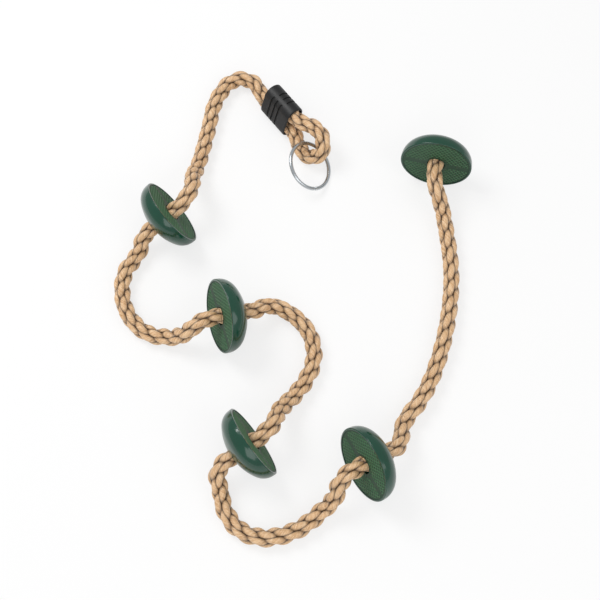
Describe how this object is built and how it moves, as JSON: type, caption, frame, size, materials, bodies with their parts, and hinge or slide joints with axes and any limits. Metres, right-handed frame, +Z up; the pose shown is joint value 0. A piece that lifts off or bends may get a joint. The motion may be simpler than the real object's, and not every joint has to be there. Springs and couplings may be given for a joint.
{
  "type": "climbing rope",
  "caption": "Climbing rope with half-dome foot holds pinned along it, ending in a clamped eye with a round steel ring.",
  "frame": {"origin": "on the floor, under the middle of the holds, clamp and ring", "axes": "+Z up, +Y from the lowest foot holds' bend towards the ring end, +X across the loosely laid rope"},
  "size_m": [0.5719, 0.807, 0.1149],
  "materials": {
    "dome_plastic": "glossy moulded",
    "tread_plastic": "satin, moulded ribs",
    "pin_steel": "zinc plated",
    "rope": "polypropylene strands, slight sheen",
    "clamp_plastic": "matte moulded",
    "ring_steel": "bright zinc"
  },
  "bodies": {
    "rope_and_holds": {"hold_1_dome": "dome_plastic", "hold_1_tread": "tread_plastic", "hold_1_pin": "pin_steel", "rope_in_hold_1": "rope", "hold_2_dome": "dome_plastic", "hold_2_tread": "tread_plastic", "hold_2_pin": "pin_steel", "rope_in_hold_2": "rope", "hold_3_dome": "dome_plastic", "hold_3_tread": "tread_plastic", "hold_3_pin": "pin_steel", "rope_in_hold_3": "rope", "hold_4_dome": "dome_plastic", "hold_4_tread": "tread_plastic", "hold_4_pin": "pin_steel", "rope_in_hold_4": "rope", "hold_5_dome": "dome_plastic", "hold_5_tread": "tread_plastic", "hold_5_pin": "pin_steel", "rope_in_hold_5": "rope", "clamp_left_shell": "clamp_plastic", "clamp_right_shell": "clamp_plastic", "rope_in_clamp": "rope", "rope_tail_in_clamp": "rope", "rope_eye": "rope", "rope_stretch_1": "rope", "rope_stretch_2": "rope", "rope_stretch_3": "rope", "rope_stretch_4": "rope", "rope_stretch_5": "rope"},
    "ring": {"hanging_ring": "ring_steel"}
  },
  "joints": [
    {"name": "ring_swing", "type": "hinge", "parent": "rope_and_holds", "child": "ring", "pos_m": [0.0117, 0.228, 0.0225], "axis": [0.7657, -0.121, 0.6317], "range_deg": [-40, 100]}
  ]
}
